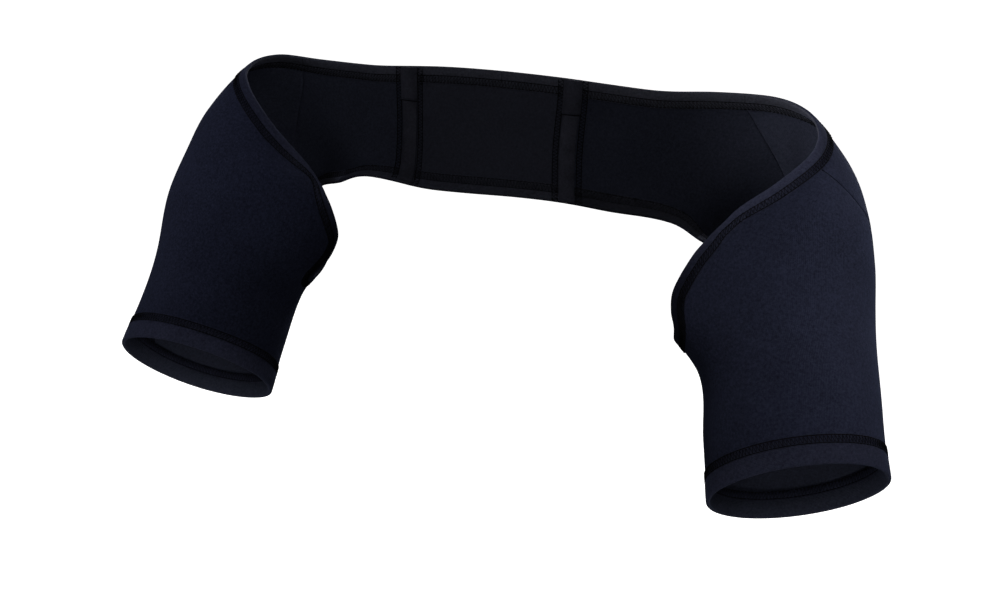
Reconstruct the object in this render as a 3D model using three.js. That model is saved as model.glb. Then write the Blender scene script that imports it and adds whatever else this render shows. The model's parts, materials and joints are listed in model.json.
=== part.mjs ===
// Posture corrector: two short sleeves joined by a straight band across the upper back.
// Millimetres and degrees. +X is the wearer's left, +Y the wearer's back, +Z up.
// The origin is the inside face of the back panel, half way up the band and between the shoulders.
import * as THREE from 'three';

const CLOTH = 1.6;
const GAP = 0.3;
const HEM_WIDTH = 11;
const HEM_THICK = 2.8;
const CUFF_HEM_WIDTH = 17;
const CASING_WIDTH = 11;
const CASING_THICK = 1.4;
const FLAP_WIDTH = 13;
const FLAP_THICK = 1.2;
const FLAP_SHARE = 0.28;

// How many steps the mesh takes along each stretch.
const STEPS = { panel: 8, wing: 10, armhole: 36, raglan: 10, sleeve: 13, rise: 7 };

// The cloth is one tube that runs from cuff to cuff over both shoulders, cut away in front.
// A place on it is "along" (0 in the middle, 9 at the left cuff, -9 at the right cuff) and "angle"
// (0 underarm or band bottom, 90 back, 180 outer side or top, 270 front). At the armpit the tube is
// tucked: its front swings in towards the chest and its back out into the sleeve.
const COLUMNS = ['x', 'y', 'z', 'bend', 'lean', 'wide', 'deep', 'tuck'];
const BODY_ROWS = [
  [0, -6.5, 5, 90, 0, 51, 7.5, 0],
  [72, -9, 7, 75, 9.5, 54, 14, 0],
  [134, -10, 5.5, 59.5, 18.5, 54.5, 26, 0],
  [167, -9.5, -14, 40.5, 25.5, 51.5, 39.5, 0],
  [182.5, -14.5, -34.2, 22.5, 26.5, 50, 48.5, 6],
  [178.5, -20.5, -58, 13, 22, 61.4, 54, 11],
  [182.4, -30, -86, 12.5, 18.5, 63, 52.5, 9],
];

// The arms leave the shoulder outward and forward; the cuff's edge slants a little more.
const ARM_ROOT = { x: 178.5, y: -20.5, z: -42 };
const ARM_ROWS = [
  { reach: 80, wide: 53.5, deep: 49, slant: 0, tuck: 1 },
  { reach: 119, wide: 53, deep: 48.5, slant: 0.4, tuck: 0 },
  { reach: 155, wide: 54.5, deep: 50, slant: 1, tuck: 0 },
];
const ARMS = {
  left: { side: 1, out: 16, forward: 19, hemOut: 8, hemForward: 15 },
  right: { side: -1, out: 10, forward: 13.5, hemOut: -10.5, hemForward: 22.5 },
};

// The edge of the opening, all the way round: [along, angle] from the middle of the band's top.
const EDGE_TOP_LEFT = [[0, 137], [1, 132], [1.5, 140.5], [2, 156.5], [2.5, 181.5], [3, 214.5], [3.5, 260]];
const EDGE_FRONT_LEFT = [
  [3.9, 292.5], [4.3, 300], [4.7, 300.5], [5.1, 304.5], [5.4, 309], [5.7, 314.5], [6, 318.5], [6.22, 323],
];
const EDGE_ARMPIT_LEFT = [
  [6.34, 331], [6.39, 345], [6.32, 359], [6.06, 370.5], [5.55, 377], [5, 377], [4.2, 371],
];
const EDGE_FOOT = [
  [3.4, 365], [2.7, 365], [2, 373.5], [1, 384.5], [0.5, 387.5], [0, 385],
  [-1, 373.5], [-2, 367.5], [-2.7, 367.5], [-3.25, 380],
];
const EDGE_ARMPIT_RIGHT = [
  [-3.7, 391], [-4.2, 395], [-4.8, 394], [-5.4, 388], [-6, 380], [-6.32, 372], [-6.48, 362], [-6.43, 353],
];
const EDGE_FRONT_RIGHT = [
  [-6.18, 349.8], [-5.85, 349], [-5.55, 346.5], [-5.25, 336.5], [-5, 330], [-4.75, 327], [-4.35, 328.5],
];
const EDGE_TOP_RIGHT = [[-3.98, 322], [-3.5, 275], [-3, 207], [-2.5, 162], [-2, 132], [-1.5, 124], [-1, 127]];
const EDGE = [
  ...EDGE_TOP_LEFT, ...EDGE_FRONT_LEFT, ...EDGE_ARMPIT_LEFT, ...EDGE_FOOT,
  ...EDGE_ARMPIT_RIGHT, ...EDGE_FRONT_RIGHT, ...EDGE_TOP_RIGHT,
];

// The seam from the neck edge down the back to the underarm, between wing and sleeve.
const RAGLANS = {
  left: {
    top: 1.73,
    foot: 4.75,
    points: [[4.4, 47], [3.8, 74], [3.22, 92], [2.63, 103], [2.28, 110], [2.02, 118.5]],
  },
  right: {
    top: -2.2,
    foot: -4.4,
    points: [[-4.1, 63], [-3.7, 78], [-3.2, 92], [-2.75, 105], [-2.45, 117]],
  },
};

// The seam down the outer arm, between the front and the back of each sleeve, after it leaves the hem.
const OVERARMS = {
  left: { top: 3.45, points: [[6.4, 160], [5.2, 161], [4.6, 168], [4.3, 182], [4.06, 197.5], [3.76, 210.5]] },
  right: { top: -3.1, points: [[-6.4, 174], [-5.2, 179], [-4.5, 183], [-4, 187], [-3.65, 190]] },
};

// The angle at which the seam under the arm leaves the hem.
const UNDERARMS = { left: 380, right: 392 };

// The cuff's angles where the mesh lines from the raglan seam's two ends and the two sleeve seams arrive.
const CUFFS = {
  left: { foot: 76, top: 112, over: 165, under: 378 },
  right: { foot: 60, top: 110, over: 165, under: 390 },
};

// The two casings over the seams between panel and wings: where each crosses the band's top and bottom,
// and the place between that it passes through.
const CASINGS = {
  left: { top: 0.36, through: [0.437, 79], bottom: 0.6 },
  right: { top: -1.07, through: [-1.213, 71.5], bottom: -1.4 },
};

const COLOURS = { cloth: 0x1c1e2b, inner: 0x16171e, hem: 0x20222f, casing: 0x191a22 };
// Millimetres per unit of along and of angle, for spacing the curves in the chart.
const CHART = [30, 0.9];

// Geometry of the one surface

function sideRows(arm) {
  const out = THREE.MathUtils.degToRad(arm.out);
  const forward = THREE.MathUtils.degToRad(arm.forward);
  const reach = [Math.sin(out) * Math.cos(forward), -Math.sin(forward), -Math.cos(out) * Math.cos(forward)];
  const rows = BODY_ROWS.map((row) => [...row]);
  for (const r of ARM_ROWS) {
    const centre = [ARM_ROOT.x, ARM_ROOT.y, ARM_ROOT.z].map((v, i) => v + reach[i] * r.reach);
    const bend = arm.out + arm.hemOut * r.slant;
    const lean = arm.forward + arm.hemForward * r.slant;
    rows.push([...centre, bend, lean, r.wide, r.deep, r.tuck]);
  }
  if (arm.side > 0) return rows;
  return rows.map(([x, y, z, bend, lean, ...section]) => [-x, y, z, 180 - bend, -lean, ...section]);
}

function wholeTable() {
  const right = sideRows(ARMS.right).slice(1).reverse();
  const rows = [...right, ...sideRows(ARMS.left)];
  const beyond = (a, b) => a.map((v, i) => 2 * v - b[i]);
  return [beyond(rows[0], rows[1]), ...rows, beyond(rows[18], rows[17])];
}

const TABLE = wholeTable();

function rowAt(along) {
  const a = Math.min(9, Math.max(-9, along));
  const i = Math.min(Math.floor(a), 8);
  const t = a - i;
  const [p, q, r, s] = TABLE.slice(i + 9, i + 13);
  const values = {};
  COLUMNS.forEach((name, k) => {
    const square = 2 * p[k] - 5 * q[k] + 4 * r[k] - s[k];
    const cube = 3 * q[k] - p[k] - 3 * r[k] + s[k];
    values[name] = 0.5 * (2 * q[k] + (r[k] - p[k]) * t + square * t * t + cube * t * t * t);
  });
  return values;
}

function surface(along, angle) {
  const row = rowAt(along);
  const b = THREE.MathUtils.degToRad(row.bend);
  const l = THREE.MathUtils.degToRad(row.lean);
  const turn = THREE.MathUtils.degToRad(angle);
  const axis = new THREE.Vector3(-Math.sin(b) * Math.cos(l), Math.sin(l), Math.cos(b) * Math.cos(l));
  const out = new THREE.Vector3(Math.cos(b), 0, Math.sin(b));
  const back = axis.clone().cross(out);
  const point = new THREE.Vector3(row.x, row.y, row.z);
  const swing = row.tuck * Math.sin(2 * turn) * (0.5 + 0.5 * Math.cos(turn));
  point.addScaledVector(out, swing - row.wide * Math.cos(turn));
  point.addScaledVector(back, row.deep * Math.sin(turn));
  return point;
}

function slopes(along, angle) {
  const ahead = Math.min(9, along + 0.002);
  const behind = Math.max(-9, along - 0.002);
  const da = surface(ahead, angle).sub(surface(behind, angle)).divideScalar(ahead - behind);
  const dp = surface(along, angle + 0.1).sub(surface(along, angle - 0.1)).divideScalar(0.2);
  const normal = dp.clone().cross(da).normalize();
  return { da, dp, normal };
}

function lifted([along, angle], height) {
  return surface(along, angle).addScaledVector(slopes(along, angle).normal, height);
}

// Moves a chart place by a short vector that lies in the surface.
function moved([along, angle], vector) {
  const { da, dp } = slopes(along, angle);
  const aa = da.dot(da);
  const ap = da.dot(dp);
  const pp = dp.dot(dp);
  const va = vector.dot(da);
  const vp = vector.dot(dp);
  const scale = 1 / (aa * pp - ap * ap);
  return [along + (va * pp - vp * ap) * scale, angle + (vp * aa - va * ap) * scale];
}

// Moves a station into the cloth, square to the edge it lies on.
function into(station, distance) {
  const steps = 4;
  let place = station.place;
  for (let i = 0; i < steps; i += 1) {
    const across = slopes(...place).normal.cross(station.heading).normalize();
    place = moved(place, across.multiplyScalar((station.sign * distance) / steps));
  }
  return place;
}

// Moves a station along its own edge.
function shifted(station, distance) {
  const place = moved(station.place, station.heading.clone().multiplyScalar(distance));
  return { ...station, place };
}

// Curves in the chart

function spline(points, closed, perSpan) {
  const count = points.length;
  const at = (i) => {
    if (closed) return points[(i + count) % count];
    if (i < 0) return points[0].map((v, k) => 2 * v - points[1][k]);
    if (i >= count) return points[count - 1].map((v, k) => 2 * v - points[count - 2][k]);
    return points[i];
  };
  const knot = (a, b) => Math.hypot((a[0] - b[0]) * CHART[0], (a[1] - b[1]) * CHART[1]) ** 0.5;
  const mix = (a, b, t, from, to) => a.map((v, k) => (v * (to - t) + b[k] * (t - from)) / (to - from));
  const dense = [];
  const spans = closed ? count : count - 1;
  for (let i = 0; i < spans; i += 1) {
    const [p, q, r, s] = [at(i - 1), at(i), at(i + 1), at(i + 2)];
    const t1 = knot(p, q);
    const t2 = t1 + knot(q, r);
    const t3 = t2 + knot(r, s);
    for (let n = 0; n < perSpan; n += 1) {
      const t = t1 + ((t2 - t1) * n) / perSpan;
      const a = mix(p, q, t, 0, t1);
      const b = mix(q, r, t, t1, t2);
      const c = mix(r, s, t, t2, t3);
      dense.push(mix(mix(a, b, t, 0, t2), mix(b, c, t, t1, t3), t, t1, t2));
    }
  }
  if (!closed) dense.push([...points[count - 1]]);
  return dense;
}

// Even stations between two dense places, ends included, each with the edge's heading.
function stations(dense, from, to, count, sign) {
  const size = dense.length;
  const places = [];
  const last = to >= from ? to : to + size;
  for (let i = from; i <= last; i += 1) places.push(dense[i % size]);
  const points = places.map((place) => surface(...place));
  const run = [0];
  for (let i = 1; i < points.length; i += 1) run.push(run[i - 1] + points[i].distanceTo(points[i - 1]));
  const list = [];
  let k = 0;
  for (let n = 0; n <= count; n += 1) {
    const want = (run[run.length - 1] * n) / count;
    while (k < run.length - 2 && run[k + 1] < want) k += 1;
    const t = (want - run[k]) / (run[k + 1] - run[k]);
    const place = places[k].map((v, i) => v + (places[k + 1][i] - v) * t);
    const heading = points[k + 1].clone().sub(points[k]).normalize();
    list.push({ place, heading, sign });
  }
  return list;
}

// A smooth line through chart places, cut into even steps.
function evenly(points, count) {
  if (points.length < 3) return line(points[0], points[1], count, 0);
  const dense = spline(points, false, 20);
  return stations(dense, 0, dense.length - 1, count, 1).map(({ place }) => place);
}

function nearest(dense, test) {
  let best = 0;
  dense.forEach((place, i) => {
    if (test(place) < test(dense[best])) best = i;
  });
  return best;
}

// Solids

function solid(name, positions, faces, colour) {
  let volume = 0;
  const v = (i) => positions[i];
  for (const [a, b, c] of faces) volume += v(a).dot(v(b).clone().cross(v(c)));
  const index = faces.flatMap(([a, b, c]) => (volume > 0 ? [a, b, c] : [a, c, b]));
  const geometry = new THREE.BufferGeometry();
  const numbers = positions.flatMap((p) => p.toArray());
  geometry.setAttribute('position', new THREE.Float32BufferAttribute(numbers, 3));
  geometry.setIndex(index);
  geometry.computeVertexNormals();
  const mesh = new THREE.Mesh(geometry, new THREE.MeshStandardMaterial({ color: colour, roughness: 0.9 }));
  mesh.name = name;
  return mesh;
}

// A layer of cloth over a grid of chart places, from a low to a high side of the surface.
function layer(name, grid, low, high, wrap, colour) {
  const rows = grid.length;
  const columns = grid[0].length;
  const height = (h, i, j) => (typeof h === 'function' ? h(i, j) : h);
  const positions = [];
  grid.forEach((row, i) => row.forEach((place, j) => positions.push(lifted(place, height(low, i, j)))));
  grid.forEach((row, i) => row.forEach((place, j) => positions.push(lifted(place, height(high, i, j)))));
  const at = (i, j, top) => (top ? rows * columns : 0) + i * columns + (j % columns);
  const faces = [];
  const quad = (a, b, c, d) => faces.push([a, b, c], [a, c, d]);
  const across = wrap ? columns : columns - 1;
  for (let i = 0; i < rows - 1; i += 1) {
    for (let j = 0; j < across; j += 1) {
      quad(at(i, j, 1), at(i, j + 1, 1), at(i + 1, j + 1, 1), at(i + 1, j, 1));
      quad(at(i, j, 0), at(i + 1, j, 0), at(i + 1, j + 1, 0), at(i, j + 1, 0));
    }
    if (!wrap) {
      const j = columns - 1;
      quad(at(i, 0, 0), at(i, 0, 1), at(i + 1, 0, 1), at(i + 1, 0, 0));
      quad(at(i, j, 0), at(i + 1, j, 0), at(i + 1, j, 1), at(i, j, 1));
    }
  }
  for (let j = 0; j < across; j += 1) {
    const i = rows - 1;
    quad(at(0, j, 0), at(0, j + 1, 0), at(0, j + 1, 1), at(0, j, 1));
    quad(at(i, j, 0), at(i, j, 1), at(i, j + 1, 1), at(i, j + 1, 0));
  }
  return solid(name, positions, faces, colour);
}

// A folded hem: one outline [distance from the edge, height] carried along the stations.
function hem(name, list, outline, closed, colour) {
  const size = outline.length;
  const positions = [];
  for (const station of list) {
    for (const [distance, height] of outline) positions.push(lifted(into(station, distance), height));
  }
  const count = list.length;
  const at = (i, k) => (i % count) * size + (k % size);
  const faces = [];
  for (let i = 0; i < (closed ? count : count - 1); i += 1) {
    for (let k = 0; k < size; k += 1) {
      faces.push([at(i, k), at(i + 1, k), at(i + 1, k + 1)], [at(i, k), at(i + 1, k + 1), at(i, k + 1)]);
    }
  }
  for (let k = 1; k < size - 1 && !closed; k += 1) {
    faces.push([at(0, 0), at(0, k), at(0, k + 1)]);
    faces.push([at(count - 1, 0), at(count - 1, k + 1), at(count - 1, k)]);
  }
  return solid(name, positions, faces, colour);
}

function hemOutline(width) {
  const half = HEM_THICK / 2;
  const thin = half - 0.3;
  const body = width * 0.56;
  return [
    [0, -half * 0.5], [0, half * 0.5], [0.9, half], [body, half],
    [width, thin], [width, -thin], [body, -half], [0.9, -half],
  ];
}

// Fills a four-sided stretch of the chart from its four border lines.
function filled(bottom, top, start, end) {
  const rows = start.length - 1;
  const columns = bottom.length - 1;
  const grid = [];
  for (let i = 0; i <= rows; i += 1) {
    const v = i / rows;
    const row = [];
    for (let j = 0; j <= columns; j += 1) {
      const u = j / columns;
      const place = [0, 1].map((k) => {
        const ruled = bottom[j][k] * (1 - v) + top[j][k] * v + start[i][k] * (1 - u) + end[i][k] * u;
        const low = bottom[0][k] * (1 - u) + bottom[columns][k] * u;
        const high = top[0][k] * (1 - u) + top[columns][k] * u;
        return ruled - low * (1 - v) - high * v;
      });
      row.push(place);
    }
    grid.push(row);
  }
  return grid;
}

// Points evenly placed along a chart line, moved sideways along the tube.
function line(from, to, count, sideways) {
  const list = [];
  for (let i = 0; i <= count; i += 1) {
    const place = from.map((v, k) => v + ((to[k] - v) * i) / count);
    list.push([place[0] + sideways / slopes(...place).da.length(), place[1]]);
  }
  return list;
}

const under = ([along, angle]) => [along, angle - 360];

// The opening's edge and the places on it where seams meet the hem

const edge = spline(EDGE, true, 30);
const topAt = (along) => nearest(edge, ([a, p]) => Math.abs(a - along) + (p > 300 ? 99 : 0));
const footAt = (along) => nearest(edge, ([a, p]) => Math.abs(a - along) + (p < 360 ? 99 : 0));
const marks = {
  left: {
    casingTop: topAt(CASINGS.left.top),
    raglanTop: topAt(RAGLANS.left.top),
    raglanFoot: footAt(RAGLANS.left.foot),
    casingFoot: footAt(CASINGS.left.bottom),
  },
  right: {
    casingTop: topAt(CASINGS.right.top),
    raglanTop: topAt(RAGLANS.right.top),
    raglanFoot: footAt(RAGLANS.right.foot),
    casingFoot: footAt(CASINGS.right.bottom),
  },
};
const L = marks.left;
const R = marks.right;
const stretch = (from, to, count) => stations(edge, from, to, count, 1);
const runs = {
  wingTopLeft: stretch(L.casingTop, L.raglanTop, STEPS.wing),
  armholeLeft: stretch(L.raglanTop, L.raglanFoot, STEPS.armhole),
  wingFootLeft: stretch(L.raglanFoot, L.casingFoot, STEPS.wing),
  panelFoot: stretch(L.casingFoot, R.casingFoot, STEPS.panel),
  wingFootRight: stretch(R.casingFoot, R.raglanFoot, STEPS.wing),
  armholeRight: stretch(R.raglanFoot, R.raglanTop, STEPS.armhole),
  wingTopRight: stretch(R.raglanTop, R.casingTop, STEPS.wing),
  panelTop: stretch(R.casingTop, L.casingTop, STEPS.panel),
};

// Pieces

function openingHems() {
  const half = STEPS.panel / 2;
  const join = (...lists) => lists.flatMap((list, i) => (i ? list.slice(1) : list));
  const left = join(runs.panelTop.slice(half), runs.wingTopLeft, runs.armholeLeft, runs.wingFootLeft,
    runs.panelFoot.slice(0, half + 1));
  const right = join(runs.panelFoot.slice(half), runs.wingFootRight, runs.armholeRight, runs.wingTopRight,
    runs.panelTop.slice(0, half + 1));
  const outline = hemOutline(HEM_WIDTH);
  return Object.entries({ left, right }).map(([side, list]) => {
    const ends = list.slice();
    ends[0] = shifted(list[0], GAP / 2);
    ends[ends.length - 1] = shifted(list[list.length - 1], -GAP / 2);
    return hem(`opening_hem_${side}`, ends, outline, false, COLOURS.hem);
  });
}

// The seam below a casing, on the panel's side of it (-1) or the wing's (1).
function casingSeam(side, foot, top, count, way) {
  const [along, angle] = CASINGS[side].through;
  const step = (ARMS[side].side * way * GAP) / 2 / slopes(along, angle).da.length();
  return evenly([foot, [along + step, angle], top], count);
}

function backPanel() {
  const inset = HEM_WIDTH + GAP;
  const trim = (list) => list.map((station, i) => {
    const ends = (i === 0 ? GAP / 2 : 0) - (i === list.length - 1 ? GAP / 2 : 0);
    return into(shifted(station, ends), inset);
  });
  const bottom = trim(runs.panelFoot).map(under).reverse();
  const top = trim(runs.panelTop);
  const start = casingSeam('right', bottom[0], top[0], STEPS.rise, -1);
  const end = casingSeam('left', bottom[STEPS.panel], top[STEPS.panel], STEPS.rise, -1);
  return layer('back_panel', filled(bottom, top, start, end), -CLOTH / 2, CLOTH / 2, false, COLOURS.inner);
}

function raglanLine(side) {
  const sign = ARMS[side].side;
  const armhole = side === 'left' ? runs.armholeLeft : runs.armholeRight;
  const ends = [armhole[0], armhole[STEPS.armhole]].map((station) => into(station, HEM_WIDTH + GAP));
  const [top, foot] = side === 'left' ? ends : ends.reverse();
  const points = [under(foot), ...RAGLANS[side].points, top];
  const dense = spline(points, false, 20);
  return stations(dense, 0, dense.length - 1, STEPS.raglan, sign);
}

// One edge of the raglan seam: towards the sleeve (1) or towards the wing (-1).
function raglanSide(side, way) {
  const sign = ARMS[side].side;
  return raglanLine(side).map(({ place }) => {
    const step = (GAP / 2) / slopes(...place).da.length();
    return [place[0] + sign * way * step, place[1]];
  });
}

function wing(side) {
  const left = side === 'left';
  const inset = HEM_WIDTH + GAP;
  const top = (left ? runs.wingTopLeft : runs.wingTopRight.slice().reverse()).map((s) => into(s, inset));
  const below = left ? runs.wingFootLeft.slice().reverse() : runs.wingFootRight;
  const foot = below.map((s) => under(into(s, inset)));
  const step = (list, way) => {
    const place = list[0];
    place[0] += (ARMS[side].side * way * GAP) / 2 / slopes(...place).da.length();
  };
  step(top, 1);
  step(foot, 1);
  const seam = raglanSide(side, -1);
  top[STEPS.wing] = seam[STEPS.raglan];
  foot[STEPS.wing] = seam[0];
  const start = casingSeam(side, foot[0], top[0], STEPS.raglan, 1);
  const grid = filled(foot, top, start, seam);
  return layer(`back_wing_${side}`, grid, -CLOTH / 2, CLOTH / 2, false, COLOURS.cloth);
}

// The sleeve's upper border, up the raglan seam and round the armhole, and the columns of its two seams.
function sleeveTop(side) {
  const armhole = side === 'left' ? runs.armholeLeft : runs.armholeRight.slice().reverse();
  const rim = armhole.map((station) => into(station, HEM_WIDTH + GAP));
  const top = [...raglanSide(side, 1), ...rim.slice(1, -1)];
  const columns = top.map((place, j) => j).slice(STEPS.raglan + 1);
  const under = columns.find((j) => top[j][1] >= UNDERARMS[side]);
  const off = (j) => Math.abs(top[j][0] - OVERARMS[side].top) + (j > under ? 99 : 0);
  const over = columns.reduce((best, j) => (off(j) < off(best) ? j : best));
  return { top, columns, over, under };
}

function cuffStations(side) {
  const sign = ARMS[side].side;
  const { over, under } = sleeveTop(side);
  const cuff = CUFFS[side];
  const total = STEPS.raglan + STEPS.armhole;
  const stops = [[0, cuff.foot], [STEPS.raglan, cuff.top], [over, cuff.over], [under, cuff.under],
    [total, cuff.foot + 360]];
  const list = [];
  for (let i = 0; i < total; i += 1) {
    const k = stops.findIndex(([column]) => column > i);
    const [[from, low], [to, high]] = [stops[k - 1], stops[k]];
    const place = [9 * sign, THREE.MathUtils.mapLinear(i, from, to, low, high)];
    list.push({ place, heading: slopes(...place).dp.normalize(), sign: -sign });
  }
  return list;
}

// Moves the places of a seam round the tube by half a gap, to one side of it.
function besideSeam(places, way) {
  return places.map(([along, angle]) => [along, angle + (way * GAP) / 2 / slopes(along, angle).dp.length()]);
}

// A sleeve's front and back, sewn together down the outer arm and under the arm.
function sleeve(side) {
  const { top, columns, over, under } = sleeveTop(side);
  const cuff = cuffStations(side).map((station) => into(station, CUFF_HEM_WIDTH + GAP));
  const overSeam = evenly([cuff[over], ...OVERARMS[side].points, top[over]], STEPS.sleeve);
  const underSeam = evenly([cuff[under], top[under]], STEPS.sleeve);
  const turned = underSeam.map(([along, angle]) => [along, angle - 360]);
  const piece = (name, list, start, end) => {
    const low = list.map(([j, turn]) => [cuff[j][0], cuff[j][1] + turn]);
    const high = list.map(([j, turn]) => [top[j][0], top[j][1] + turn]);
    const last = list.length - 1;
    [low[0], high[0]] = [start[0], start[STEPS.sleeve]];
    [low[last], high[last]] = [end[0], end[STEPS.sleeve]];
    return layer(name, filled(low, high, start, end), -CLOTH / 2, CLOTH / 2, false, COLOURS.cloth);
  };
  const front = columns.filter((j) => j >= over && j <= under).map((j) => [j, 0]);
  const behind = columns.filter((j) => j >= under).map((j) => [j, -360]);
  for (let j = 0; j <= over; j += 1) behind.push([j, 0]);
  return [
    piece(`sleeve_front_${side}`, front, besideSeam(overSeam, 1), besideSeam(underSeam, -1)),
    piece(`sleeve_back_${side}`, behind, besideSeam(turned, 1), besideSeam(overSeam, -1)),
  ];
}

function cuffHem(side) {
  return hem(`cuff_hem_${side}`, cuffStations(side), hemOutline(CUFF_HEM_WIDTH), true, COLOURS.hem);
}

// A casing runs up the inside over both hems; a short flap covers its upper end.
function casing(side) {
  const foot = under(edge[marks[side].casingFoot]);
  const top = edge[marks[side].casingTop];
  const dense = spline([foot, CASINGS[side].through, top], false, 40);
  const run = [0];
  for (let i = 1; i < dense.length; i += 1) {
    run.push(run[i - 1] + surface(...dense[i]).distanceTo(surface(...dense[i - 1])));
  }
  const length = run[run.length - 1];
  const placeAt = (distance) => {
    const k = Math.min(run.length - 2, Math.max(0, run.findIndex((v) => v > distance) - 1));
    const t = (distance - run[k]) / (run[k + 1] - run[k]);
    return dense[k].map((v, i) => v + (dense[k + 1][i] - v) * t);
  };
  const clear = (distance) => {
    const near = Math.min(distance, length - distance);
    const drop = THREE.MathUtils.clamp((near - HEM_WIDTH + 1) / 3.5, 0, 1);
    return HEM_THICK / 2 + GAP + 0.1 - drop * (HEM_THICK - CLOTH) / 2;
  };
  const strip = (distances, width) => distances.map((distance) => {
    const place = placeAt(distance);
    const pace = slopes(...place).da.length();
    return [-1, -0.4, 0.4, 1].map((w) => [place[0] + (w * width) / 2 / pace, place[1]]);
  });
  const inside = (distances, from, to) => [
    (i) => -clear(distances[i]) - to,
    (i) => -clear(distances[i]) - from,
  ];
  const from = length * (1 - FLAP_SHARE);
  const upper = [13.6, 9.8, 5, 0.4].map((v) => length - v);
  const tapeRows = [0.4, 5, 9.8, 13.6, 22, 32, 42, 52, length - 22, ...upper];
  const flapRows = [from, from + 4, ...upper];
  const tape = layer(`casing_tape_${side}`, strip(tapeRows, CASING_WIDTH),
    ...inside(tapeRows, 0, CASING_THICK), false, COLOURS.casing);
  const rise = CASING_THICK + GAP;
  const flap = layer(`casing_flap_${side}`, strip(flapRows, FLAP_WIDTH),
    ...inside(flapRows, rise, rise + FLAP_THICK), false, COLOURS.casing);
  return [tape, flap];
}

function assemble() {
  const group = new THREE.Group();
  group.name = 'posture_corrector';
  group.add(backPanel());
  group.add(...openingHems());
  for (const side of ['left', 'right']) {
    group.add(wing(side));
    group.add(...sleeve(side));
    group.add(cuffHem(side));
    group.add(...casing(side));
  }
  return group;
}

export default assemble();
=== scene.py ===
"""Looks of a posture corrector: two short knit sleeves joined by a straight band across the upper back."""

import functools
import json
import math

import bpy
import numpy as np
from mathutils import Matrix

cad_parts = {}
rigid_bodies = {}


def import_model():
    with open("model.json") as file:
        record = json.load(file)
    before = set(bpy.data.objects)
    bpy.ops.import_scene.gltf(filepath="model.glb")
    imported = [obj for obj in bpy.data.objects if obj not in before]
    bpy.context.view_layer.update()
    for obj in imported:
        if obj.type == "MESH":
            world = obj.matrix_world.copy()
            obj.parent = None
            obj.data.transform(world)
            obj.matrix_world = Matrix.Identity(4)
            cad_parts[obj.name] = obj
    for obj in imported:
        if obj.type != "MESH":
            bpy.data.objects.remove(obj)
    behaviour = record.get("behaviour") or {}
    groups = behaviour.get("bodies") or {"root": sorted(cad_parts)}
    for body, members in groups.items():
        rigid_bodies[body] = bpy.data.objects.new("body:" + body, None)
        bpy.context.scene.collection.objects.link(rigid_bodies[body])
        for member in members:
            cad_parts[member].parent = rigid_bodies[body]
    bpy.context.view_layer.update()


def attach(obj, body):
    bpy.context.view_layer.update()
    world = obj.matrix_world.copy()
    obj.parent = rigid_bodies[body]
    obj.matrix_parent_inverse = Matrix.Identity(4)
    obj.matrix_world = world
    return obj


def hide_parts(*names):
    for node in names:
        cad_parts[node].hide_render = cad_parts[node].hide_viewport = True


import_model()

bl_info = {
    "name": "Posture Corrector",
    "version": (1, 0, 0),
    "blender": (4, 5, 0),
    "location": "View3D > Sidebar > Garment",
    "description": "Builds the sleeves, back band, hems, casings and stitching of a posture corrector",
    "category": "Object",
}

# The cloth is one tube from cuff to cuff over both shoulders, cut away in front. A place on it is
# (along, angle): along 0 in the middle, 9 at the left cuff and -9 at the right one; angle 0 underarm or
# band bottom, 90 back, 180 outer side or top, 270 front. Lengths here are millimetres, angles degrees.
# At the armpit the tube is tucked: its front swings in towards the chest and its back out into the sleeve.
# Columns: x, y, z, bend, lean, half width, half depth, tuck.
BODY_ROWS = (
    (0, -6.5, 5, 90, 0, 51, 7.5, 0),
    (72, -9, 7, 75, 9.5, 54, 14, 0),
    (134, -10, 5.5, 59.5, 18.5, 54.5, 26, 0),
    (167, -9.5, -14, 40.5, 25.5, 51.5, 39.5, 0),
    (182.5, -14.5, -34.2, 22.5, 26.5, 50, 48.5, 6),
    (178.5, -20.5, -58, 13, 22, 61.4, 54, 11),
    (182.4, -30, -86, 12.5, 18.5, 63, 52.5, 9),
)
ARM_ROOT = (178.5, -20.5, -42)
# Columns: reach down the arm, half width, half depth, share of the cuff's slant, tuck.
ARM_ROWS = ((80, 53.5, 49, 0, 1), (119, 53, 48.5, 0.4, 0), (155, 54.5, 50, 1, 0))
CUFF_ALONG = len(BODY_ROWS) + len(ARM_ROWS) - 1
ARMS = {
    "left": {"side": 1, "out": 16, "forward": 19, "hem_out": 8, "hem_forward": 15},
    "right": {"side": -1, "out": 10, "forward": 13.5, "hem_out": -10.5, "hem_forward": 22.5},
}
SIDES = ("left", "right")

# The edge of the opening, all the way round from the middle of the band's top.
EDGE = (
    (0, 137), (1, 132), (1.5, 140.5), (2, 156.5), (2.5, 181.5), (3, 214.5), (3.5, 260), (3.9, 292.5),
    (4.3, 300), (4.7, 300.5), (5.1, 304.5), (5.4, 309), (5.7, 314.5), (6, 318.5), (6.22, 323), (6.34, 331),
    (6.39, 345), (6.32, 359), (6.06, 370.5), (5.55, 377), (5, 377), (4.2, 371), (3.4, 365), (2.7, 365),
    (2, 373.5), (1, 384.5), (0.5, 387.5), (0, 385), (-1, 373.5), (-2, 367.5), (-2.7, 367.5), (-3.25, 380),
    (-3.7, 391), (-4.2, 395), (-4.8, 394), (-5.4, 388), (-6, 380), (-6.32, 372), (-6.48, 362), (-6.43, 353),
    (-6.18, 349.8), (-5.85, 349), (-5.55, 346.5), (-5.25, 336.5), (-5, 330), (-4.75, 327), (-4.35, 328.5),
    (-3.98, 322), (-3.5, 275), (-3, 207), (-2.5, 162), (-2, 132), (-1.5, 124), (-1, 127),
)
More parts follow.
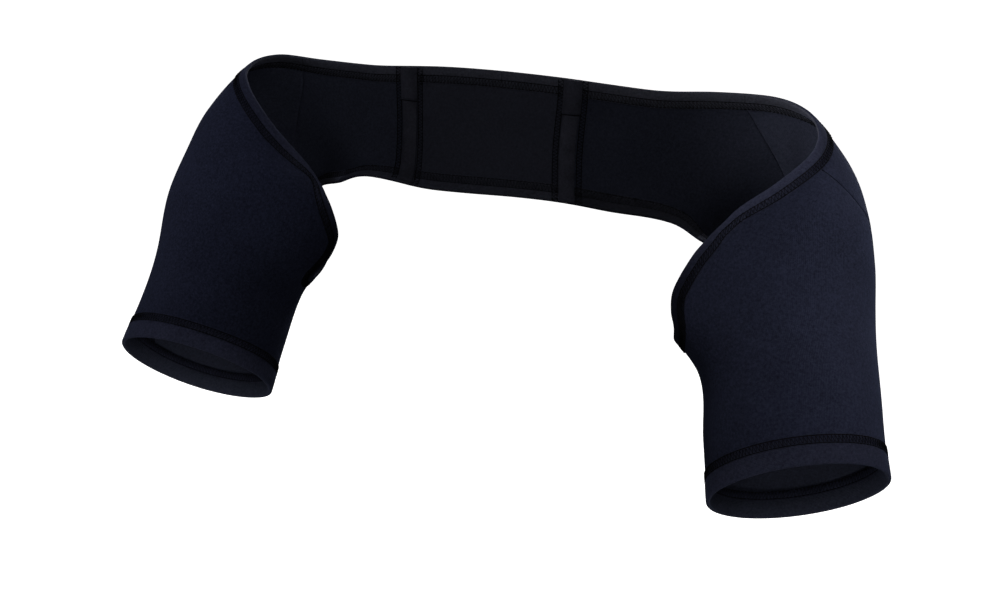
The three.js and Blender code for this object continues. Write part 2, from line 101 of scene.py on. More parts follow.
# Seams: where each meets the opening's edge, and the places it passes between.
RAGLANS = {
    "left": {"top": 1.73, "foot": 4.75,
             "points": ((4.4, 47), (3.8, 74), (3.22, 92), (2.63, 103), (2.28, 110), (2.02, 118.5))},
    "right": {"top": -2.2, "foot": -4.4,
              "points": ((-4.1, 63), (-3.7, 78), (-3.2, 92), (-2.75, 105), (-2.45, 117))},
}
OVERARMS = {
    "left": {"top": 3.45,
             "points": ((6.4, 160), (5.2, 161), (4.6, 168), (4.3, 182), (4.06, 197.5), (3.76, 210.5))},
    "right": {"top": -3.1,
              "points": ((-6.4, 174), (-5.2, 179), (-4.5, 183), (-4, 187), (-3.65, 190))},
}
UNDERARMS = {"left": 380, "right": 392}
# The cuff's angles below the raglan seam's foot and top, the outer seam and the seam under the arm.
CUFFS = {"left": (76, 112, 165, 378), "right": (60, 110, 165, 390)}
CASINGS = {
    "left": {"top": 0.36, "through": (0.437, 79), "bottom": 0.6},
    "right": {"top": -1.07, "through": (-1.213, 71.5), "bottom": -1.4},
}

# Where the ends of the opening's hem are joined, at the top of the band.
HEM_JOIN = -0.22

# The edge has angles below the first of these along its top, and above the second along its foot. The
# third is more than any difference of along, and rules a place out.
TOP_ANGLE, FOOT_ANGLE, FAR = 300, 360, 99

# About how many millimetres a unit of along and a degree of angle take up on the cloth.
CHART = np.array((30, 0.9))
# Columns of a sleeve up its raglan seam and round its armhole.
RAGLAN_COLUMNS = 10
ARMHOLE_COLUMNS = 36
LAST_COLUMN = RAGLAN_COLUMNS + ARMHOLE_COLUMNS
# How far cloth reaches in under a hem, and how long a mesh step is.
TUCK = 1.4
STEP = 2.4
# How far a hem's last row of stitches stays from its border, and how deep the rows and the covering
# thread above them lie in the hem.
ROW_INSET = 0.4
ROW_DEPTH = 0.35
COVER_DEPTH = 0.1
# Mesh points of one stitch and of one zigzag.
STITCH_POINTS = 6
ZIGZAG_POINTS = 10
# The knit: from one column of loops to the next, and from one row of loops to the next.
WALE = 0.95
COURSE = 0.8
# A casing: how far it ends from the edge, how high it stands on its cloth, over how long a slope it comes
# down from the hems, how much it puffs up, how round its crown is and its ends are, and how far its flap
# stands off.
CASING_END = 0.4
CASING_STAND = 0.35
CASING_SLOPE = 3.5
CASING_PUFF = 0.6
CROWN = 2.6
END_ROUND = 0.9
FLAP_STAND = 0.75
# Mesh columns over a casing, from one side to the other in half widths.
CASING_COLUMNS = np.array((-1, -0.97, -0.9, -0.78, -0.5, 0, 0.5, 0.78, 0.9, 0.97, 1))
# Sewing of a casing: rows beside it and behind it, how far they end from the edge, and the radius of the
# dark thread below the flap, a painted shadow of the flap's edge.
CASING_ROWS = (1.1, 4.6)
CASING_BACK_ROWS = (-3.2, 3.2)
CASING_ROW_END = 0.8
FLAP_SHADOW_LINE = 0.4
# The armpits in metres: how far out, how high, and how far the painted shade in their hollows reaches.
ARMPIT_OUT, ARMPIT_HEIGHT, ARMPIT_REACH = 0.122, -0.1, 0.05

# Soft unevenness of cloth after wear: direction per millimetre, phase, height in millimetres.
RUMPLES = (
    ((0.061, 0.022, 0.034), 0.4, 0.34),
    ((-0.035, 0.071, 0.052), 2.1, 0.28),
    ((0.018, -0.064, 0.097), 4.0, 0.22),
    ((0.142, 0.051, -0.083), 1.2, 0.12),
)


def mm(length):
    """A property's metres as millimetres."""
    return length * 1000


# The one surface

def side_rows(arm):
    out, forward = math.radians(arm["out"]), math.radians(arm["forward"])
    level = math.cos(forward)
    reach = np.array((math.sin(out) * level, -math.sin(forward), -math.cos(out) * level))
    rows = [list(row) for row in BODY_ROWS]
    for length, wide, deep, slant, tuck in ARM_ROWS:
        centre = np.array(ARM_ROOT) + reach * length
        bend = arm["out"] + arm["hem_out"] * slant
        lean = arm["forward"] + arm["hem_forward"] * slant
        rows.append([*centre, bend, lean, wide, deep, tuck])
    rows = np.array(rows, float)
    if arm["side"] < 0:
        rows[:, 0] *= -1
        rows[:, 3] = 180 - rows[:, 3]
        rows[:, 4] *= -1
    return rows


def whole_table():
    right = side_rows(ARMS["right"])[:0:-1]
    rows = np.vstack([right, side_rows(ARMS["left"])])
    return np.vstack([2 * rows[0] - rows[1], rows, 2 * rows[-1] - rows[-2]])


TABLE = whole_table()


def surface(place):
    """Points of the cloth's middle at places, smooth between the rows of the table."""
    along = np.clip(place[..., 0], -CUFF_ALONG, CUFF_ALONG)
    i = np.minimum(np.floor(along), CUFF_ALONG - 1).astype(int)
    t = (along - i)[..., None]
    p, q, r, s = (TABLE[i + CUFF_ALONG + k] for k in range(4))
    square = 2 * p - 5 * q + 4 * r - s
    cube = 3 * q - p - 3 * r + s
    row = 0.5 * (2 * q + (r - p) * t + square * t ** 2 + cube * t ** 3)
    bend, lean = np.radians(row[..., 3]), np.radians(row[..., 4])
    turn = np.radians(place[..., 1])
    axis = np.stack([-np.sin(bend) * np.cos(lean), np.sin(lean), np.cos(bend) * np.cos(lean)], -1)
    out = np.stack([np.cos(bend), 0 * bend, np.sin(bend)], -1)
    swing = row[..., 7] * np.sin(2 * turn) * (0.5 + 0.5 * np.cos(turn))
    across = out * (row[..., 5] * np.cos(turn) - swing)[..., None]
    back = np.cross(axis, out) * (row[..., 6] * np.sin(turn))[..., None]
    return row[..., :3] - across + back


def unit(v):
    return v / np.maximum(np.linalg.norm(v, axis=-1, keepdims=True), 1e-9)


def slopes(place):
    """How the surface runs per unit of along and of angle, and its outward normal."""
    ahead, behind = place.copy(), place.copy()
    ahead[..., 0] = np.minimum(CUFF_ALONG, ahead[..., 0] + 0.002)
    behind[..., 0] = np.maximum(-CUFF_ALONG, behind[..., 0] - 0.002)
    da = (surface(ahead) - surface(behind)) / (ahead - behind)[..., :1]
    turn = np.array((0, 0.1))
    dp = (surface(place + turn) - surface(place - turn)) / 0.2
    return da, dp, unit(np.cross(dp, da))


def rumple(point):
    """Height of the cloth's soft unevenness at a point."""
    total = 0
    for direction, phase, height in RUMPLES:
        total = total + height * np.sin(point @ np.array(direction) + phase)
    return total


def lifted(place, height):
    """Points above places of the surface, and the normals there."""
    base, normal = surface(place), slopes(place)[2]
    return base + normal * (height + rumple(base))[..., None], normal


def into(place, heading, sign, distance):
    """Moves places into the cloth, square to the edge that they lie on."""
    steps = 4
    for _ in range(steps):
        da, dp, normal = slopes(place)
        move = unit(np.cross(normal, heading)) * (sign * distance / steps)
        aa, ap, pp = ((a * b).sum(-1) for a, b in ((da, da), (da, dp), (dp, dp)))
        va, vp = (move * da).sum(-1), (move * dp).sum(-1)
        scale = 1 / (aa * pp - ap * ap)
        place = place + np.stack([(va * pp - vp * ap) * scale, (vp * aa - va * ap) * scale], -1)
    return place


# Curves in the chart

def spline(points, closed, per_span=40):
    """A smooth curve through chart places, spaced by their real distances."""
    p = np.array(points, float)
    count = len(p)
    if closed:
        p = np.vstack([p[-1], p, p[:2]])
    else:
        p = np.vstack([2 * p[0] - p[1], p, 2 * p[-1] - p[-2]])
    knots = np.sqrt(np.linalg.norm(np.diff(p * CHART, axis=0), axis=1))
    found = []
    for i in range(count if closed else count - 1):
        a, b, c, d = p[i:i + 4]
        t1 = knots[i]
        t2, t3 = t1 + knots[i + 1], t1 + knots[i + 1] + knots[i + 2]
        t = (t1 + (t2 - t1) * np.arange(per_span) / per_span)[:, None]
        ab = (a * (t1 - t) + b * t) / t1
        bc = (b * (t2 - t) + c * (t - t1)) / (t2 - t1)
        cd = (c * (t3 - t) + d * (t - t2)) / (t3 - t2)
        abc = (ab * (t2 - t) + bc * t) / t2
        bcd = (bc * (t3 - t) + cd * (t - t1)) / (t3 - t1)
        found.append((abc * (t2 - t) + bcd * (t - t1)) / (t2 - t1))
    if not closed:
        found.append(p[-2:-1])
    return np.vstack(found)


def lengths(points):
    return np.concatenate([[0], np.cumsum(np.linalg.norm(np.diff(points, axis=0), axis=1))])


def sample(values, run, at):
    """Values along a line, read at other distances."""
    return np.stack([np.interp(at, run, values[:, k]) for k in range(values.shape[1])], -1)


def evenly(places, count):
    """A line of places cut into even steps of real length."""
    run = lengths(surface(places))
    return sample(places, run, np.linspace(0, run[-1], count + 1))


class Loop:
    """The opening's edge, read by distance along it."""

    def __init__(self):
        places = spline(EDGE, True)
        self.places = np.vstack([places, places[:1]])
        points = surface(self.places)
        self.run = lengths(points)
        self.length = self.run[-1]
        ring = np.vstack([points[-2], points, points[1]])
        self.headings = unit(ring[2:] - ring[:-2])

    def at(self, distance):
        d = np.mod(distance, self.length)
        return sample(self.places, self.run, d), unit(sample(self.headings, self.run, d))

    def inset(self, distance, width):
        return into(*self.at(distance), 1, width)

    def find(self, along, top):
        """Distance to the place on the upper or lower edge that has this along."""
        wrong = self.places[:, 1] > TOP_ANGLE if top else self.places[:, 1] < FOOT_ANGLE
        return self.run[np.argmin(np.abs(self.places[:, 0] - along) + FAR * wrong)]

    def border(self, start, end, inset, count=60):
        """Places inside the edge from one mark to another, the shorter way round."""
        way = np.mod(end - start + self.length / 2, self.length) - self.length / 2
        return self.inset(start + way * np.linspace(0, 1, count + 1), inset)


LOOP = Loop()
MARKS = {
    side: {
        "casing_top": LOOP.find(CASINGS[side]["top"], True),
        "casing_foot": LOOP.find(CASINGS[side]["bottom"], False),
        "raglan_top": LOOP.find(RAGLANS[side]["top"], True),
        "raglan_foot": LOOP.find(RAGLANS[side]["foot"], False),
    }
    for side in SIDES
}
FULL_TURN = np.array((0, 360))


def raglan_line(side, inset, count):
    """The seam between wing and sleeve, from the foot to the top."""
    ends = [LOOP.inset(np.array([MARKS[side][k]]), inset)[0] for k in ("raglan_foot", "raglan_top")]
    return evenly(spline([ends[0] - FULL_TURN, *RAGLANS[side]["points"], ends[1]], False), count)


def casing_seam(side, foot, top, count=40):
    """The seam below a casing, up the inside of the band."""
    return evenly(spline([foot, CASINGS[side]["through"], top], False), count)


def armhole(side, share, inset):
    """Places on the sleeve's part of the edge, at shares from the raglan's top round to its foot."""
    start, end, sign = MARKS[side]["raglan_top"], MARKS[side]["raglan_foot"], ARMS[side]["side"]
    length = sign * np.mod(sign * (end - start), LOOP.length)
    return LOOP.inset(start + length * share, inset)


def rim_at(side, column, inset):
    """The upper border of the sleeve by column: up the raglan seam, then round the armhole."""
    seam = raglan_line(side, inset, 200)
    on_seam = sample(seam, np.linspace(0, RAGLAN_COLUMNS, len(seam)), np.minimum(column, RAGLAN_COLUMNS))
    share = np.clip((column - RAGLAN_COLUMNS) / ARMHOLE_COLUMNS, 0, 1)
    return np.where((column <= RAGLAN_COLUMNS)[:, None], on_seam, armhole(side, share, inset))


def cuff_edge(side, angle):
    """Places and headings on a cuff's edge, with the sign that points into the sleeve."""
    sign = ARMS[side]["side"]
    place = np.stack([np.full_like(angle, sign * CUFF_ALONG), angle], -1)
    return place, unit(slopes(place)[1]), -sign


def sleeve_seam_columns(side, inset=11):
    """The columns of a sleeve that lie under the arm and on the outer arm, at the hem's inner border."""
    columns = np.arange(RAGLAN_COLUMNS + 1, LAST_COLUMN).astype(float)
    along, angle = rim_at(side, columns, inset).T
    under = columns[np.argmax(angle >= UNDERARMS[side])]
    off = np.abs(along - OVERARMS[side]["top"]) + FAR * (columns > under)
    return under, columns[np.argmin(off)]


SLEEVE_SEAMS = {side: sleeve_seam_columns(side) for side in SIDES}


def cuff_at(side, column, inset):
    under, over = SLEEVE_SEAMS[side]
    stops = (0, RAGLAN_COLUMNS, over, under, LAST_COLUMN)
    angle = np.interp(column, stops, (*CUFFS[side], CUFFS[side][0] + 360))
    return into(*cuff_edge(side, angle), inset)


def fill(bottom, top, start, end, across, up):
    """Fills a four-sided stretch of the chart from its border lines, at shares across and up."""
    def read(line, share):
        return sample(line, np.linspace(0, 1, len(line)), share)
    b, t, s, e = read(bottom, across), read(top, across), read(start, up), read(end, up)
    u, v = across[None, :, None], up[:, None, None]
    ruled = b[None] * (1 - v) + t[None] * v + s[:, None] * (1 - u) + e[:, None] * u
    low = bottom[0] * (1 - u) + bottom[-1] * u
    high = top[0] * (1 - u) + top[-1] * u
    return ruled - low * (1 - v) - high * v


# Meshes

class Cut:
    """Vertices, faces, weave coordinates and finishes gathered for one piece."""

    def __init__(self):
        self.points, self.faces, self.weave, self.finish, self.size = [], [], [], [], 0

    def add(self, points, faces, weave, finish=0):
        self.points.append(points.reshape(-1, 3))
        self.faces.append(faces + self.size)
        self.weave.append(weave.reshape(-1, 2))
        self.finish.append(np.full(len(faces), finish) if np.isscalar(finish) else finish)
        self.size += len(self.points[-1])

    def piece(self, name, finishes, slot, replaces=()):
        """Makes the piece, with its finishes given by name."""
        points, faces = np.vstack(self.points) * 0.001, np.vstack(self.faces)
        a, b, c = (points[faces[:, k]] for k in range(3))
        if (a * np.cross(b, c)).sum() < 0:
            faces = faces[:, ::-1]
        mesh = bpy.data.meshes.new(name)
        mesh.from_pydata(points.tolist(), [], faces.tolist())
        loops = np.zeros(len(mesh.loops), np.int32)
        mesh.loops.foreach_get("vertex_index", loops)
        layer = mesh.uv_layers.new(name="weave")
        layer.uv.foreach_set("vector", np.vstack(self.weave)[loops].astype(np.float32).ravel())
        mesh.polygons.foreach_set("use_smooth", np.ones(len(faces), bool))
        mesh.polygons.foreach_set("material_index", np.concatenate(self.finish).astype(np.int32))
        for finish in finishes:
            mesh.materials.append(looks()[finish])
        mesh.update()
        piece = bpy.data.objects.new(name, mesh)
        bpy.context.scene.collection.objects.link(piece)
        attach(piece, "root")
        if replaces:
            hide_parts(*replaces)
        return piece


def grid_faces(rows, columns, wrap_rows=False, wrap_columns=False):
    i, j = np.meshgrid(np.arange(rows if wrap_rows else rows - 1),
                       np.arange(columns if wrap_columns else columns - 1), indexing="ij")
    i2, j2 = (i + 1) % rows, (j + 1) % columns
    quads = np.stack([i * columns + j, i * columns + j2, i2 * columns + j2, i2 * columns + j], -1)
    return quads.reshape(-1, 4)


def grid_weave(points):
    """Millimetres across and up a grid of points, for the knit."""
    across = np.linalg.norm(np.diff(points, axis=1), axis=2).mean(0)
    up = np.linalg.norm(np.diff(points, axis=0), axis=2).mean(1)
    u = np.concatenate([[0], np.cumsum(across)])
    v = np.concatenate([[0], np.cumsum(up)])
    return np.stack(np.broadcast_arrays(u[None, :], v[:, None]), -1)


def chart_weave(grid):
    """Millimetres round and along the tube, for the knit of a sleeve."""
    rows = np.arange(-CUFF_ALONG, CUFF_ALONG + 1)
    along = np.interp(grid[..., 0], rows, lengths(TABLE[1:-1, :3]))
    return np.stack([grid[..., 1] * CHART[1], along], -1)


def layer(cut, grid, low, high, outer=0, inner=1, weave=None, sewn=None):
    """A closed layer of cloth over a grid of places, between two heights; sewn marks the faces at seams."""
    rows, columns = grid.shape[:2]
    below, above = lifted(grid, low)[0], lifted(grid, high)[0]
    weave = grid_weave(above) if weave is None else weave
    size = rows * columns
    flat = grid_faces(rows, columns)
    border = np.concatenate([
        np.arange(columns), np.arange(2 * columns - 1, size, columns),
        np.arange(size - 2, size - columns - 1, -1), np.arange(size - 2 * columns, 0, -columns),
    ])
    after = np.roll(border, -1)
    rim = np.stack([border, after, after + size, border + size], -1)
    faces = np.vstack([flat[:, ::-1], flat + size, rim])
    at_seam = np.zeros(len(flat), bool) if sewn is None else sewn.ravel()
    # Faces at seams take the third finish, which on a cloth piece is painted shade in the seam's groove.
    faced = [np.where(at_seam, 2, side) for side in (inner, outer)]
    finish = np.concatenate([*faced, np.full(len(rim), inner)])
    cut.add(np.concatenate([below, above]), faces, np.concatenate([weave, weave]), finish)


# Distances from a seam, and how much of its thickness the cloth keeps there.
SEAM_STEPS = np.array((0, 0.4, 0.9, 1.7, 2.8))
SEAM_KEPT = (0.08, 0.5, 0.76, 0.93, 1)


def seam_shares(length, step):
    """Shares along a stretch between two seams, closer together where the seams draw the cloth in."""
    near = SEAM_STEPS / length
    middle = np.linspace(0, 1, max(3, int(length / step)) + 1)
    kept = middle[(middle > near[-1] * 1.3) & (middle < 1 - near[-1] * 1.3)]
    return np.concatenate([near, kept, 1 - near[::-1]])


def seam_dip(share, length):
    """How much of its thickness the cloth keeps, from where seams draw it in."""
    return np.interp(np.minimum(share, 1 - share) * length, SEAM_STEPS, SEAM_KEPT)


def cloth_piece(name, borders, inside, slot, replaces, on_tube=False):
    """A sheet of knit from its four borders, sewn along its start and its end."""
    bottom, top, start, end = borders
    half = mm(sizes().cloth) / 2
    wide = max(lengths(surface(bottom))[-1], lengths(surface(top))[-1])
    high = max(lengths(surface(start))[-1], lengths(surface(end))[-1])
    across = seam_shares(wide, STEP)
    up = np.linspace(0, 1, max(3, int(high / STEP)) + 1)
    grid = fill(bottom, top, start, end, across, up)
    keep = np.broadcast_to(seam_dip(across, wide), grid.shape[:2])
    cut = Cut()
    sewn = np.zeros((len(up) - 1, len(across) - 1), bool)
    sewn[:, [0, -1]] = True
    layer(cut, grid, -half * keep, half * keep, weave=chart_weave(grid) if on_tube else None, sewn=sewn)
    # The third finish paints shade into the groove along both seams.
    return cut.piece(name, ("sleeve", inside, "seam"), slot, replaces)


def folded(cut, place, heading, sign, outline, along, shaded=0):
    """Carries a folded outline of (distance from the edge, height, finish up to the next) round an edge.

    Each step of shaded moves the finishes of the inside on by one pair, to copies with more painted shade.
    """
    rows = [lifted(into(place, heading, sign, d), np.full(len(place), float(h)))[0] for d, h, _ in outline]
    points = np.stack(rows, 1)
    rim = lengths(np.array(outline, float)[:, :2])
    weave = np.stack(np.broadcast_arrays(rim[None, :], along[:, None]), -1)
    finish = np.tile([f for *_, f in outline], (len(points), 1))
    finish += 2 * np.reshape(shaded, (-1, 1)) * (finish >= 2)
    cut.add(points, grid_faces(*points.shape[:2], True, True), weave, finish.ravel())


def thread(cut, points, normals, radius, closed=False):
    """A round thread along points, with flat ends where it is open."""
    sides = 5 if closed else 6
    if closed:
        ring = np.vstack([points[-1], points, points[0]])
        heading = unit(ring[2:] - ring[:-2])
    else:
        heading = unit(np.gradient(points, axis=0))
    side = unit(np.cross(normals, heading))
    up = np.cross(heading, side)
    turn = 2 * math.pi * np.arange(sides) / sides
    cos, sin = np.cos(turn)[None, :, None], np.sin(turn)[None, :, None]
    tube = points[:, None] + radius * (side[:, None] * cos + up[:, None] * sin)
    run = lengths(points)
    weave = np.stack(np.broadcast_arrays((turn / (2 * math.pi))[None, :], run[:, None]), -1)
    faces = grid_faces(len(points), sides, closed, True)
    cut.add(tube, faces, weave)
    if not closed:
        last = (len(points) - 1) * sides
        ends = np.array(((0, 1, 2, 3), (0, 3, 4, 5)))
        caps = np.vstack([ends[:, ::-1], ends + last])
        cut.faces.append(caps + cut.size - tube.shape[0] * sides)
        cut.finish.append(np.zeros(len(caps)))


class Track:
    """A line on the cloth that stitches follow, read by distance."""

    def __init__(self, points, normals, closed):
        if closed:
            points, normals = np.vstack([points, points[:1]]), np.vstack([normals, normals[:1]])
        self.points, self.normals, self.closed = points, normals, closed
        self.run = lengths(points)
        self.length = self.run[-1]

    def at(self, share):
        d = share * self.length
        return sample(self.points, self.run, d), unit(sample(self.normals, self.run, d))


def needle_row(cut, track, pitch, radius, side):
    """A row of stitches that dip into the cloth between one another."""
    count = max(4, round(track.length / pitch))
    steps = count * STITCH_POINTS
    share = np.arange(steps + (0 if track.closed else 1)) / steps
    points, normals = track.at(share)
    arch = np.abs(np.sin(math.pi * share * count)) ** 0.6
    normals = normals * side
    points = points + normals * (radius * (1.9 * arch - 0.9))[:, None]
    thread(cut, points, normals, radius, track.closed)


def cross_row(cut, one, two, pitch, radius, side):
    """A thread that runs to and fro between two rows."""
    count = max(4, round(one.length / pitch))
    steps = count * ZIGZAG_POINTS
    share = np.arange(steps + (0 if one.closed else 1)) / steps
    swing = np.sin(2 * math.pi * share * count)
    t = 0.5 + np.arcsin(swing * 0.97) / math.pi
    (a, na), (b, nb) = one.at(share), two.at(share)
    normals = unit(na * (1 - t[:, None]) + nb * t[:, None]) * side
    arch = 0.35 + 0.5 * np.sin(math.pi * t)
    points = a * (1 - t[:, None]) + b * t[:, None] + normals * (radius * arch)[:, None]
    thread(cut, points, normals, radius, one.closed)


def stitch_band(cut, s, rows, tops, side):
    """Two rows of stitches, with a covering thread to and fro above them."""
    for row in rows:
        needle_row(cut, row, mm(s.stitch), mm(s.thread), side)
    cross_row(cut, *tops, mm(s.zigzag), mm(s.cover), side)


# Finishes

class Value:
    """A shader value. Arithmetic on it adds Math nodes."""

    def __init__(self, finish, socket):
        self.finish, self.socket = finish, socket

    def __add__(self, other):
        return self.finish.math("ADD", self, other)

    def __sub__(self, other):
        return self.finish.math("SUBTRACT", self, other)

    def __rsub__(self, other):
        return self.finish.math("SUBTRACT", other, self)

    def __mul__(self, other):
        return self.finish.math("MULTIPLY", self, other)

    def __truediv__(self, other):
        return self.finish.math("DIVIDE", self, other)

    def __mod__(self, other):
        return self.finish.math("FLOORED_MODULO", self, other)

    def __abs__(self):
        return self.finish.math("ABSOLUTE", self, 0)

    __radd__ = __add__
    __rmul__ = __mul__


class Finish:
    """A material built from nodes."""

    def __init__(self, name):
        self.material = bpy.data.materials.new(name)
        self.material.use_nodes = True
        self.tree = self.material.node_tree
        self.shader = self.tree.nodes["Principled BSDF"]

    def node(self, kind, settings=None, sockets=None, output=0):
        """Adds a node: its settings first, then the values or links of its sockets."""
        made = self.tree.nodes.new(kind)
        for name, value in (settings or {}).items():
            setattr(made, name, value)
        for name, value in (sockets or {}).items():
            self.put(made.inputs[name], value)
        return Value(self, made.outputs[output])

    def put(self, socket, value):
        if isinstance(value, Value):
            self.tree.links.new(value.socket, socket)
        else:
            socket.default_value = value

    def math(self, operation, one, two):
        return self.node("ShaderNodeMath", {"operation": operation}, {0: one, 1: two})

    def sine(self, value):
        return self.math("SINE", value, 0)

    def mix(self, share, one, two):
        return self.node("ShaderNodeMix", {"data_type": "RGBA"}, {0: share, 6: one, 7: two}, 2)

    def noise(self, scale, detail=2.0, rough=0.5):
        where = self.node("ShaderNodeTexCoord", output="Object")
        return self.node("ShaderNodeTexNoise", None,
                         {"Vector": where, "Scale": scale, "Detail": detail, "Roughness": rough})

    def armpit(self):
        """Mask of painted shade: one in the hollow of each armpit, falling to nothing round it."""
        where = self.node("ShaderNodeTexCoord", output="Object")
        parts = self.node("ShaderNodeSeparateXYZ", None, {"Vector": where})
        across = abs(parts) - ARMPIT_OUT
        up = Value(self, parts.socket.node.outputs[2]) - ARMPIT_HEIGHT
        return self.math("MAXIMUM", 1 - (across * across + up * up) / ARMPIT_REACH ** 2, 0)

    def weave(self):
        """Millimetres across and along the knit."""
        where = self.node("ShaderNodeUVMap", {"uv_map": "weave"})
        parts = self.node("ShaderNodeSeparateXYZ", None, {"Vector": where})
        return parts, Value(self, parts.socket.node.outputs[1])

    def done(self, colour, rough, height, depth, sheen):
        bump = self.node("ShaderNodeBump", None, {"Strength": 1.0, "Distance": depth, "Height": height})
        sockets = {
            "Base Color": colour, "Roughness": rough, "Normal": bump, "Sheen Weight": sheen,
            "Sheen Roughness": 0.4, "Sheen Tint": (0.45, 0.55, 1, 1), "Specular IOR Level": 0.06,
        }
        for name, value in sockets.items():
            self.put(self.shader.inputs[name], value)
        return self.material


def rgba(colour, gain=1.0):
    return (*(c * gain for c in colour), 1)


def knit(name, colour, sheen, contrast, shade=0.0):
    """A fine jersey knit: rows of small loops, lighter on their crests, with a mottled dye and soft lint, and
    with painted shade in the armpits.
    """
    f = Finish(name)
    u, v = f.weave()
    leg = abs((u / WALE) % 1 - 0.5) * 2
    rib = 1 - leg * leg
    loops = f.sine((v / COURSE + leg * 0.5) * (2 * math.pi)) * 0.5 + 0.5
    fleck, grain, cloud = f.noise(620, 2, 0.6), f.noise(1500, 2, 0.6), f.noise(26, 3, 0.55)
    height = rib * 0.55 + loops * 0.35 + grain * 0.5
    tone = fleck * 0.5 + grain * 0.3 + cloud * 0.2
    mottle = (tone - 0.5) * 3.2 + 0.5
    knitted = f.mix(mottle, rgba(colour, 1 - contrast), rgba(colour, 1 + contrast))
    # Lighter on the crests of the loops.
    lighter_and_shaded = f.mix(rib * loops * 0.35, knitted, rgba(colour, 1.45))
    # Painted shade: with shade, the colour darkens towards a tenth of itself in the hollow of each armpit.
    if shade:
        lighter_and_shaded = f.mix(f.armpit() * shade, lighter_and_shaded, rgba(colour, 0.1))
    return f.done(lighter_and_shaded, 0.84 + grain * 0.14, height, 0.00012, sheen)


def taped(name, colour, sheen):
    """A close woven tape with fine ribs across it."""
    f = Finish(name)
    u, v = f.weave()
    ribs = f.sine(v * (2 * math.pi / 0.7)) * 0.5 + 0.5
    ends = f.sine((u / 0.55 + v / 1.4) * (2 * math.pi)) * 0.5 + 0.5
    fleck, cloud = f.noise(700, 3, 0.6), f.noise(60, 2, 0.5)
    woven = f.mix((fleck * 0.5 + cloud * 0.5 - 0.5) * 2.4 + 0.5, rgba(colour, 0.6), rgba(colour, 1.4))
    height = ribs * 0.6 + ends * 0.3 + fleck * 0.4
    return f.done(woven, 0.8 + fleck * 0.15, height, 0.0001, sheen)


def twisted(name, colour):
    """Spun sewing thread."""
    f = Finish(name)
    u, v = f.weave()
    ply = f.sine((v / 0.8 + u) * (2 * math.pi)) * 0.5 + 0.5
    spun = f.mix(ply, rgba(colour, 0.6), rgba(colour, 1.4))
    return f.done(spun, 0.7 + ply * 0.2, ply, 0.00006, 0.0)


# Knit finishes by colour. Columns: name, sheen, contrast of the dye, painted shade in the armpits.
KNITS = {
    "sleeve": ("Sleeve knit", 0.05, 0.55, 0.0),
    "inside": ("Sleeve knit inside", 0.03, 0.35, 0.0),
    "band": ("Band knit", 0.02, 0.25, 0.0),
    "hem": ("Hem knit", 0.06, 0.5, 0.8),
    # Painted light: fold and sewn_fold are lit copies of the inside knit, about twice as light.
    "fold": ("Hem knit inside", 0.04, 0.4, 0.85),
    "sewn": ("Sewn knit", 0.02, 0.4, 0.6),
    "sewn_fold": ("Sewn knit inside", 0.0, 0.4, 0.6),
    # Painted light: the cuff hems' inside is a lighter copy of the sleeves' inside knit.
    "cuff": ("Cuff knit inside", 0.03, 0.4, 0.0),
    # Painted shade: foot, wing_foot and sewn_foot are darker copies of the hem's inside for the band's lower
    # edge.
    "foot": ("Foot hem knit", 0.02, 0.4, 0.0),
    "wing_foot": ("Wing foot knit", 0.0, 0.4, 0.0),
    "sewn_foot": ("Sewn foot knit", 0.0, 0.4, 0.0),
    # Painted shade: the dark strip along each seam stands in for the shadow in its groove.
    "seam": ("Seam groove", 0.0, 0.3, 0.0),
}
FINISHES = {}


def looks():
    """The garment's finishes, made at the first call."""
    colours = bpy.context.scene.garment_colours
    if not FINISHES:
        for key, (name, sheen, contrast, shade) in KNITS.items():
            FINISHES[key] = knit(name, getattr(colours, key), sheen, contrast, shade)
        FINISHES["casing"] = taped("Casing tape", colours.casing, 0.03)
        FINISHES["thread"] = twisted("Sewing thread", colours.thread)
    return FINISHES


# Properties

def length_property(name, description, default):
    return bpy.props.FloatProperty(name=name, description=description, default=default, min=0,
                                   unit="LENGTH", precision=5)


def colour_property(name, description, default):
    return bpy.props.FloatVectorProperty(name=name, description=description, default=default, min=0, max=1,
                                         size=3, subtype="COLOR")


class GarmentSizes(bpy.types.PropertyGroup):
    """Sizes of the garment's cloth and sewing."""
    cloth: length_property("Cloth", "Thickness of the knit", 0.0016)
    hem_width: length_property("Hem width", "Width of the hem round the opening", 0.011)
    hem_thick: length_property("Hem thickness", "Thickness of a folded hem", 0.0028)
    cuff_width: length_property("Cuff hem width", "Width of the hem round each cuff", 0.017)
    casing_width: length_property("Casing width", "Width of the tape over each panel seam", 0.011)
    casing_thick: length_property("Casing thickness", "Thickness of that tape", 0.0014)
    flap_width: length_property("Flap width", "Width of the flap over a casing's upper end", 0.013)
    flap_thick: length_property("Flap thickness", "Thickness of that flap", 0.0012)
    flap_share: bpy.props.FloatProperty(name="Flap share", description="Share of the casing under its flap",
                                        default=0.28, min=0, max=1, subtype="FACTOR")
    thread: length_property("Thread", "Radius of the sewing thread", 0.0003)
    stitch: length_property("Stitch", "Length of one stitch", 0.0026)
    cover: length_property("Covering thread", "Radius of the thread that covers a stitch band", 0.00017)
    zigzag: length_property("Zigzag", "Length of one zigzag of the covering thread", 0.0023)
    stitch_band: length_property("Stitch band", "Distance between the two rows of a hem's stitching", 0.0044)


